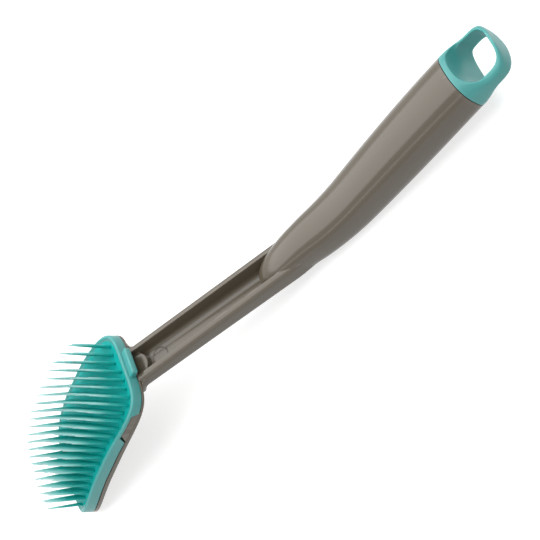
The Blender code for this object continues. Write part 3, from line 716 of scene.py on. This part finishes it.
def node(tree, kind, settings=None, **inputs):
    """Adds a node with its settings. An input is a value, or a socket to link from. It goes by its name, or
    by the letter i and its number where names repeat."""
    made = tree.nodes.new(kind)
    for name, value in (settings or {}).items():
        setattr(made, name, value)
    for name, value in inputs.items():
        numbered = name[0] == "i" and name[1:].isdigit()
        socket = made.inputs[int(name[1:]) if numbered else name.replace("_", " ")]
        if isinstance(value, bpy.types.NodeSocket):
            tree.links.new(value, socket)
        else:
            socket.default_value = value
    return made


def bristle_tree(material):
    """Geometry Nodes that plant tapering bristles in slanted rows on the bowed mat."""
    tree = bpy.data.node_groups.new("planted_bristles", "GeometryNodeTree")
    tree.interface.new_socket("Geometry", in_out="OUTPUT", socket_type="NodeSocketGeometry")
    sizes = {
        "Row Pitch": ROW_PITCH,
        "Bristle Pitch": BRISTLE_PITCH,
        "Row Turn": math.radians(ROW_TURN),
        "Row Shear": ROW_SHEAR,
        "Row Fan": ROW_FAN,
        "Length": BRISTLE_LENGTH,
        "Root Radius": ROOT_WIDTH / 2,
        "Taper Power": TAPER_POWER,
        "Narrowing": 1 - TIP_WIDTH / ROOT_WIDTH,
        "Rear Lean": math.radians(REAR_LEAN),
        "Front Lean": math.radians(FRONT_LEAN),
        "Bow Radius": HEAD_BOW_RADIUS,
        "Chord": HEAD_CHORD,
        "Rear Half Width": HEAD_REAR_WIDTH / 2,
        "Front Half Width": HEAD_FRONT_WIDTH / 2,
        "Margin": BRISTLE_MARGIN,
        "Corner Power": HEAD_POWER,
        "Root Drop": MAT_TOP + MAT_THICKNESS / 2,
        "Unevenness": math.radians(UNEVENNESS),
    }
    for name, value in sizes.items():
        tree.interface.new_socket(name, in_out="INPUT", socket_type="NodeSocketFloat").default_value = value
    tree.interface.new_socket("Seed", in_out="INPUT", socket_type="NodeSocketInt").default_value = SWAY_SEED
    given = tree.nodes.new("NodeGroupInput").outputs
    value = {name: given[name] for name in sizes}

    # A grid of places, turned slantwise.
    times = {"operation": "MULTIPLY"}
    width = node(tree, "ShaderNodeMath", times, i0=given["Row Pitch"], i1=ROWS - 1).outputs[0]
    length = node(tree, "ShaderNodeMath", times, i0=given["Bristle Pitch"], i1=ROW_STEPS - 1).outputs[0]
    grid = node(tree, "GeometryNodeMeshGrid", i0=width, i1=length, i2=ROWS, i3=ROW_STEPS)
    turn = node(tree, "ShaderNodeCombineXYZ", Z=given["Row Turn"])
    turned = node(tree, "GeometryNodeTransform", Geometry=grid.outputs["Mesh"], Rotation=turn.outputs[0])
    points = node(tree, "GeometryNodeMeshToPoints", Mesh=turned.outputs[0])
    spot = node(tree, "ShaderNodeSeparateXYZ", i0=tree.nodes.new("GeometryNodeInputPosition").outputs[0])
    value["grid x"], value["y"] = spot.outputs[0], spot.outputs[1]

    # One bristle: a slim round spike that keeps its width low down and draws to a point.
    stem = node(
        tree,
        "GeometryNodeMeshCylinder",
        {"fill_type": "NGON"},
        Vertices=BRISTLE_SIDES,
        Side_Segments=BRISTLE_RINGS,
        Radius=given["Root Radius"],
        Depth=given["Length"],
    )
    stem_spot = node(tree, "ShaderNodeSeparateXYZ", i0=tree.nodes.new("GeometryNodeInputPosition").outputs[0])
    value["stem x"], value["stem y"], value["stem z"] = stem_spot.outputs[:3]

    # Sums: a name, what is done, and what it is done to. The rows slant more toward the front of the head. A
    # place is on the mat while its reach is at most one. It is then put on the bow and sunk into the mat, and
    # it leans square to the bow less its fan.
    sums = (
        ("fan slope", "MULTIPLY", "grid x", "Row Fan"),
        ("row slope", "ADD", "fan slope", "Row Shear"),
        ("shift", "MULTIPLY", "row slope", "y"),
        ("x", "ADD", "grid x", "shift"),
        ("from middle", "ABSOLUTE", "x", 0.0),
        ("half chord", "MULTIPLY", "Chord", 0.5),
        ("mat half length", "SUBTRACT", "half chord", "Margin"),
        ("length share", "DIVIDE", "from middle", "mat half length"),
        ("length part", "POWER", "length share", "Corner Power"),
        ("chord step", "DIVIDE", "x", "Chord"),
        ("chord share", "ADD", "chord step", 0.5),
        ("widening", "SUBTRACT", "Rear Half Width", "Front Half Width"),
        ("widened", "MULTIPLY", "widening", "chord share"),
        ("half width", "ADD", "Front Half Width", "widened"),
        ("mat half width", "SUBTRACT", "half width", "Margin"),
        ("from axis", "ABSOLUTE", "y", 0.0),
        ("width share", "DIVIDE", "from axis", "mat half width"),
        ("width part", "POWER", "width share", "Corner Power"),
        ("reach", "ADD", "length part", "width part"),
        ("bow square", "MULTIPLY", "Bow Radius", "Bow Radius"),
        ("x square", "MULTIPLY", "x", "x"),
        ("rise square", "SUBTRACT", "bow square", "x square"),
        ("rise", "SQRT", "rise square", 0.0),
        ("bow height", "SUBTRACT", "rise", "Bow Radius"),
        ("root height", "SUBTRACT", "bow height", "Root Drop"),
        ("stem step", "DIVIDE", "stem z", "Length"),
        ("share", "ADD", "stem step", 0.5),
        ("drawn", "POWER", "share", "Taper Power"),
        ("narrowed", "MULTIPLY", "drawn", "Narrowing"),
        ("taper", "SUBTRACT", 1.0, "narrowed"),
        ("tapered x", "MULTIPLY", "stem x", "taper"),
        ("tapered y", "MULTIPLY", "stem y", "taper"),
        ("lifted z", "MULTIPLY", "share", "Length"),
        ("fan", "SUBTRACT", "Rear Lean", "Front Lean"),
        ("fanned", "MULTIPLY", "fan", "chord share"),
        ("lean", "ADD", "Front Lean", "fanned"),
        ("bow sine", "DIVIDE", "x", "Bow Radius"),
        ("bow turn", "ARCSINE", "bow sine", 0.0),
        ("tilt", "SUBTRACT", "bow turn", "lean"),
        ("least sway", "MULTIPLY", "Unevenness", -1.0),
    )
    for name, operation, *pair in sums:
        first, second = [value[item] if isinstance(item, str) else item for item in pair]
        value[name] = node(tree, "ShaderNodeMath", {"operation": operation}, i0=first, i1=second).outputs[0]

    beyond = {"data_type": "FLOAT", "operation": "GREATER_THAN"}
    outside = node(tree, "FunctionNodeCompare", beyond, A=value["reach"], B=1.0)
    kept = node(
        tree,
        "GeometryNodeDeleteGeometry",
        {"domain": "POINT"},
        Geometry=points.outputs[0],
        Selection=outside.outputs[0],
    )
    place = node(tree, "ShaderNodeCombineXYZ", X=value["x"], Y=value["y"], Z=value["root height"])
    planted = node(tree, "GeometryNodeSetPosition", Geometry=kept.outputs[0], Position=place.outputs[0])
    marked = node(
        tree,
        "GeometryNodeStoreNamedAttribute",
        {"data_type": "FLOAT", "domain": "POINT"},
        Geometry=stem.outputs["Mesh"],
        Name="along",
        Value=value["share"],
    )
    shaped = node(
        tree, "ShaderNodeCombineXYZ", X=value["tapered x"], Y=value["tapered y"], Z=value["lifted z"]
    )
    spike = node(tree, "GeometryNodeSetPosition", Geometry=marked.outputs[0], Position=shaped.outputs[0])

    # A hair of unevenness, each way.
    sway, roll = [
        node(
            tree,
            "FunctionNodeRandomValue",
            {"data_type": "FLOAT"},
            i2=value["least sway"],
            i3=given["Unevenness"],
            Seed=seed,
        )
        for seed in (given["Seed"], ROLL_SEED)
    ]
    leaning = node(tree, "ShaderNodeMath", {"operation": "ADD"}, i0=value["tilt"], i1=sway.outputs[1])
    turns = node(tree, "ShaderNodeCombineXYZ", X=roll.outputs[1], Y=leaning.outputs[0])
    facing = node(tree, "FunctionNodeEulerToRotation", i0=turns.outputs[0])
    placed = node(
        tree,
        "GeometryNodeInstanceOnPoints",
        Points=planted.outputs[0],
        Instance=spike.outputs[0],
        Rotation=facing.outputs[0],
    )
    real = node(tree, "GeometryNodeRealizeInstances", Geometry=placed.outputs[0])
    dressed = node(tree, "GeometryNodeSetMaterial", Geometry=real.outputs[0], Material=material)
    tree.links.new(dressed.outputs[0], tree.nodes.new("NodeGroupOutput").inputs[0])
    return tree


def planted_bristles(material):
    """The bristles as one plain mesh."""
    holder = solid("bristles", bmesh.new())
    planting = holder.modifiers.new("planting", "NODES")
    planting.node_group = bristle_tree(material)
    for item in planting.node_group.interface.items_tree:
        if item.item_type == "SOCKET" and item.in_out == "INPUT":
            planting[item.identifier] = item.default_value
    carve(holder, [])
    holder.data.transform(HEAD)
    return holder


# Materials

FLOW_STRETCH = (0.12, 1.0, 1.0)
FLOW_SIZE = 0.006
CLOUD_SIZE = 0.009
SOFT_CLOUD_SIZE = 0.004
GRAIN_SIZE = 0.0005
GRAIN_DEPTH = 0.000012
SOFT_GRAIN_SIZE = 0.0006
SOFT_GRAIN_DEPTH = 0.00001
GREY_EDGE = 0.00035
TEAL_EDGE = 0.0004
SOFT_EDGE = 0.0002


def grain_bump(tree, place, grain, depth, bevel):
    """The moulded skin: a fine spark-eroded grain on edges that a mould leaves slightly rounded."""
    fine = node(tree, "ShaderNodeTexNoise", Vector=place, Scale=1 / grain, Detail=3.0, Roughness=0.6)
    rounded = node(tree, "ShaderNodeBevel", {"samples": 6}, Radius=bevel)
    return node(
        tree,
        "ShaderNodeBump",
        Strength=1.0,
        Distance=depth,
        Height=fine.outputs[0],
        Normal=rounded.outputs[0],
    )


def new_material(name):
    """A material with an empty tree, its output and the object's own coordinates."""
    material = bpy.data.materials.new(name)
    material.use_nodes = True
    tree = material.node_tree
    tree.nodes.clear()
    output = tree.nodes.new("ShaderNodeOutputMaterial")
    place = tree.nodes.new("ShaderNodeTexCoord").outputs["Object"]
    return material, tree, output, place


def grey_polypropylene():
    """Polypropylene, injection moulded and satin: a warm grey body under a soft neutral sheen, with a faint
    flow mottle along the handle, and a painted highlight that makes its sharp edges a little paler."""
    material, tree, output, place = new_material("warm_grey_moulded_polypropylene")
    stretch = node(tree, "ShaderNodeMapping", Vector=place, Scale=FLOW_STRETCH)
    flow = node(tree, "ShaderNodeTexNoise", Vector=stretch.outputs[0], Scale=1 / FLOW_SIZE, Detail=4.0)
    mottle = node(
        tree,
        "ShaderNodeMix",
        {"data_type": "RGBA"},
        Factor=flow.outputs[0],
        i6=linear("#5A5245"),
        i7=linear("#60574A"),
    )
    # Painted highlight: sharp convex edges are painted a paler grey, as if light were catching them.
    edge = node(
        tree,
        "ShaderNodeMapRange",
        Value=tree.nodes.new("ShaderNodeNewGeometry").outputs["Pointiness"],
        From_Min=0.52,
        From_Max=0.60,
        To_Min=0.0,
        To_Max=0.30,
    )
    painted_edge_highlight = node(
        tree,
        "ShaderNodeMix",
        {"data_type": "RGBA"},
        Factor=edge.outputs[0],
        i6=mottle.outputs[2],
        i7=linear("#857E72"),
    )
    gloss = node(
        tree,
        "ShaderNodeMapRange",
        Value=flow.outputs[0],
        From_Min=0.3,
        From_Max=0.7,
        To_Min=0.15,
        To_Max=0.20,
    )
    skin_bump = grain_bump(tree, place, GRAIN_SIZE, GRAIN_DEPTH, GREY_EDGE)
    shader = node(
        tree,
        "ShaderNodeBsdfPrincipled",
        Base_Color=painted_edge_highlight.outputs[2],
        Roughness=gloss.outputs[0],
        IOR=1.49,
        Specular_IOR_Level=0.6,
        Normal=skin_bump.outputs[0],
    )
    tree.links.new(shader.outputs[0], output.inputs[0])
    return material


def teal_polypropylene():
    """Polypropylene, injection moulded: a milky teal that light enters a little, so its hollows glow
    saturated. Its sharp edges are painted paler as a painted highlight."""
    material, tree, output, place = new_material("teal_moulded_polypropylene")
    cloud = node(tree, "ShaderNodeTexNoise", Vector=place, Scale=1 / CLOUD_SIZE, Detail=3.0)
    body = node(
        tree,
        "ShaderNodeMix",
        {"data_type": "RGBA"},
        Factor=cloud.outputs[0],
        i6=linear("#43A09D"),
        i7=linear("#4BA4A1"),
    )
    # Painted highlight: sharp convex edges are painted a paler teal, as if light were catching them.
    edge = node(
        tree,
        "ShaderNodeMapRange",
        Value=tree.nodes.new("ShaderNodeNewGeometry").outputs["Pointiness"],
        From_Min=0.51,
        From_Max=0.60,
        To_Min=0.0,
        To_Max=0.35,
    )
    painted_edge_highlight = node(
        tree,
        "ShaderNodeMix",
        {"data_type": "RGBA"},
        Factor=edge.outputs[0],
        i6=body.outputs[2],
        i7=linear("#86C4C1"),
    )
    gloss = node(
        tree,
        "ShaderNodeMapRange",
        Value=cloud.outputs[0],
        From_Min=0.3,
        From_Max=0.7,
        To_Min=0.36,
        To_Max=0.44,
    )
    skin_bump = grain_bump(tree, place, GRAIN_SIZE, GRAIN_DEPTH, TEAL_EDGE)
    shader = node(
        tree,
        "ShaderNodeBsdfPrincipled",
        Base_Color=painted_edge_highlight.outputs[2],
        Roughness=gloss.outputs[0],
        IOR=1.49,
        Specular_IOR_Level=0.6,
        Normal=skin_bump.outputs[0],
        Subsurface_Weight=0.6,
        Subsurface_Radius=(0.2, 1.0, 0.95),
        Subsurface_Scale=0.0025,
    )
    tree.links.new(shader.outputs[0], output.inputs[0])
    return material


def teal_elastomer():
    """Thermoplastic elastomer, moulded soft: a deep saturated teal between the bristles, glossier toward the
    tips, which thin out and let light through. Toward the tips the colour is painted paler as a painted
    highlight."""
    material, tree, output, place = new_material("soft_teal_elastomer")
    along = node(tree, "ShaderNodeAttribute", {"attribute_name": "along"})
    # Painted highlight: the colour runs from a saturated teal at the roots to a pale teal at the tips, as if
    # light were falling on the tips.
    tip_highlight_ramp = node(tree, "ShaderNodeValToRGB", Fac=along.outputs["Fac"])
    stops = tip_highlight_ramp.color_ramp.elements
    stops[0].position = 0.0
    stops[0].color = linear("#00ABA5")
    stops[1].position = 1.0
    stops[1].color = linear("#BCDFDB")
    middle = stops.new(0.5)
    middle.color = linear("#35B0AA")
    cloud = node(tree, "ShaderNodeTexNoise", Vector=place, Scale=1 / SOFT_CLOUD_SIZE, Detail=2.0)
    gloss = node(
        tree,
        "ShaderNodeMapRange",
        Value=cloud.outputs[0],
        From_Min=0.3,
        From_Max=0.7,
        To_Min=0.42,
        To_Max=0.52,
    )
    sheen = node(
        tree,
        "ShaderNodeMapRange",
        Value=along.outputs["Fac"],
        From_Min=0.1,
        From_Max=0.8,
        To_Min=0.15,
        To_Max=0.75,
    )
    skin_bump = grain_bump(tree, place, SOFT_GRAIN_SIZE, SOFT_GRAIN_DEPTH, SOFT_EDGE)
    shader = node(
        tree,
        "ShaderNodeBsdfPrincipled",
        Base_Color=tip_highlight_ramp.outputs[0],
        Roughness=gloss.outputs[0],
        IOR=1.48,
        Normal=skin_bump.outputs[0],
        Specular_IOR_Level=sheen.outputs[0],
        Subsurface_Weight=1.0,
        Subsurface_Radius=(0.35, 1.0, 0.95),
        Subsurface_Scale=0.0022,
    )
    tree.links.new(shader.outputs[0], output.inputs[0])
    return material


# The brush

grey = grey_polypropylene()
teal = teal_polypropylene()
soft_teal = teal_elastomer()

finish_piece(neck_and_grip(), grey, "handle", "handle")
finish_piece(hanging_cap(), teal, "handle", "end_cap")
finish_piece(head_shell(), teal, "brush_head", "head_frame")
mat = head_sweep("bristle_mat", seat_profile(MAT_INSET, MAT_TOP, MAT_TOP + MAT_THICKNESS, 0.0, EDGE_ROUND))
finish_piece(mat, soft_teal, "brush_head", "bristle_pad")
bristles = planted_bristles(soft_teal)
finish_piece(bristles, soft_teal, "brush_head", "bristle_pad", BRISTLE_SHARP_ANGLE)


# Camera, light and floor

SENSOR_WIDTH = 36.0
PHOTO_WIDTH = 540
PHOTO_FOCAL_LENGTH = 1600
NEAR_LIMIT = 0.01
FLOOR_REACH = 3
FLOOR_GLOW = 0.70
FILL_LEVEL = 0.46
WHITE_LEVEL = 1.0


def camera():
    """The photograph's viewpoint, fitted to its outlines. The focal length is in the photograph's pixels."""
    data = bpy.data.cameras.new("camera")
    data.sensor_width = SENSOR_WIDTH
    data.lens = SENSOR_WIDTH * PHOTO_FOCAL_LENGTH / PHOTO_WIDTH
    data.clip_start = NEAR_LIMIT
    item = bpy.data.objects.new("camera", data)
    bpy.context.scene.collection.objects.link(item)
    item.matrix_world = Matrix(
        (
            (0.65906, 0.63848, 0.39748, 0.26927),
            (-0.32526, 0.71848, -0.61481, -0.40301),
            (-0.67813, 0.27591, 0.68119, 0.46010),
            (0.0, 0.0, 0.0, 1.0),
        )
    )
    bpy.context.scene.camera = item


def softbox(name, place, aim, width, height, power):
    """A rectangular studio softbox that points at a place."""
    data = bpy.data.lights.new(name, "AREA")
    data.shape = "RECTANGLE"
    data.size = width
    data.size_y = height
    data.energy = power
    item = bpy.data.objects.new(name, data)
    bpy.context.scene.collection.objects.link(item)
    item.location = place
    item.rotation_euler = (Vector(aim) - Vector(place)).to_track_quat("-Z", "Y").to_euler()


def seen_directly(tree):
    """One for camera, glossy and transmission rays, and zero for the rays that light things."""
    ray = tree.nodes.new("ShaderNodeLightPath").outputs
    seen = ray["Is Camera Ray"]
    for other in ("Is Glossy Ray", "Is Transmission Ray"):
        seen = node(tree, "ShaderNodeMath", {"operation": "MAXIMUM"}, i0=seen, i1=ray[other]).outputs[0]
    return seen


def floor():
    """A plain pale floor. Where it is seen it has a little light of its own, so that it reads as white and
    still keeps a soft shadow."""
    shape = bmesh.new()
    sides = ((-1, -1), (1, -1), (1, 1), (-1, 1))
    shape.faces.new([shape.verts.new((x * FLOOR_REACH, y * FLOOR_REACH, 0.0)) for x, y in sides])
    item = solid("floor", shape)
    material, tree, output, _ = new_material("white_studio_board")
    board = node(tree, "ShaderNodeBsdfDiffuse", Color=linear("#C4C4C4"))
    glow = node(tree, "ShaderNodeEmission", Color=linear("#FFFFFF"), Strength=FLOOR_GLOW)
    lit = node(tree, "ShaderNodeAddShader", i0=board.outputs[0], i1=glow.outputs[0])
    mixed = node(tree, "ShaderNodeMixShader", Fac=seen_directly(tree), i1=board.outputs[0], i2=lit.outputs[0])
    tree.links.new(mixed.outputs[0], output.inputs[0])
    item.data.materials.append(material)


def studio():
    """A white surround where it is seen, and a plain grey one as fill light."""
    world = bpy.data.worlds.new("studio")
    bpy.context.scene.world = world
    world.use_nodes = True
    tree = world.node_tree
    tree.nodes.clear()
    output = tree.nodes.new("ShaderNodeOutputWorld")
    fill = node(tree, "ShaderNodeBackground", Color=linear("#FFFFFF"), Strength=FILL_LEVEL)
    white = node(tree, "ShaderNodeBackground", Color=linear("#FFFFFF"), Strength=WHITE_LEVEL)
    seen = seen_directly(tree)
    mixed = node(tree, "ShaderNodeMixShader", Fac=seen, i1=fill.outputs[0], i2=white.outputs[0])
    tree.links.new(mixed.outputs[0], output.inputs[0])


camera()
floor()
studio()
softbox("overhead", place=(-0.15, 0.38, 0.75), aim=(-0.15, 0.36, 0.0), width=1.4, height=1.5, power=12.0)
softbox("edge_strip", place=(-0.42, -0.80, 0.50), aim=(0.0, 0.0, 0.02), width=0.9, height=0.07, power=0.5)
bpy.context.scene.view_settings.view_transform = "Standard"
